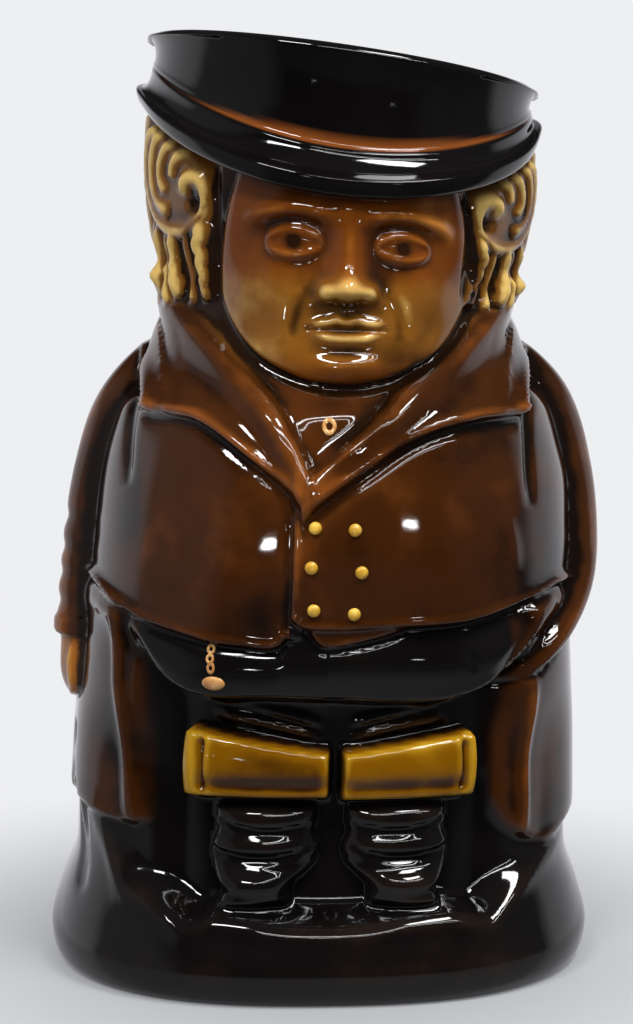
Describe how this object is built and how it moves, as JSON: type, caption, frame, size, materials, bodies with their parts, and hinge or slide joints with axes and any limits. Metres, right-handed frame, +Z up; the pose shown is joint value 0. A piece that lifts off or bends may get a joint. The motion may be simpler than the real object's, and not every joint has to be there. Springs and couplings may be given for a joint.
{
  "type": "toby jug",
  "caption": "Glazed pottery jug in the form of a seated stout figure in coat and cocked cap, hollow and open at the cap, with a loop handle at the back.",
  "frame": {"origin": "bottom centre of the bounding box, level with the foot ring the jug stands on", "axes": "+Z up, the figure faces -Y, +X towards the figure's left hand, which is the viewer's right; the handle is at +Y"},
  "size_m": [0.1344, 0.1514, 0.2227],
  "materials": {
    "treacle_glaze": "high gloss brown treacle glaze, amber where thin, near black where it pools"
  },
  "bodies": {
    "root": {"toby_jug": "treacle_glaze"}
  },
  "joints": []
}
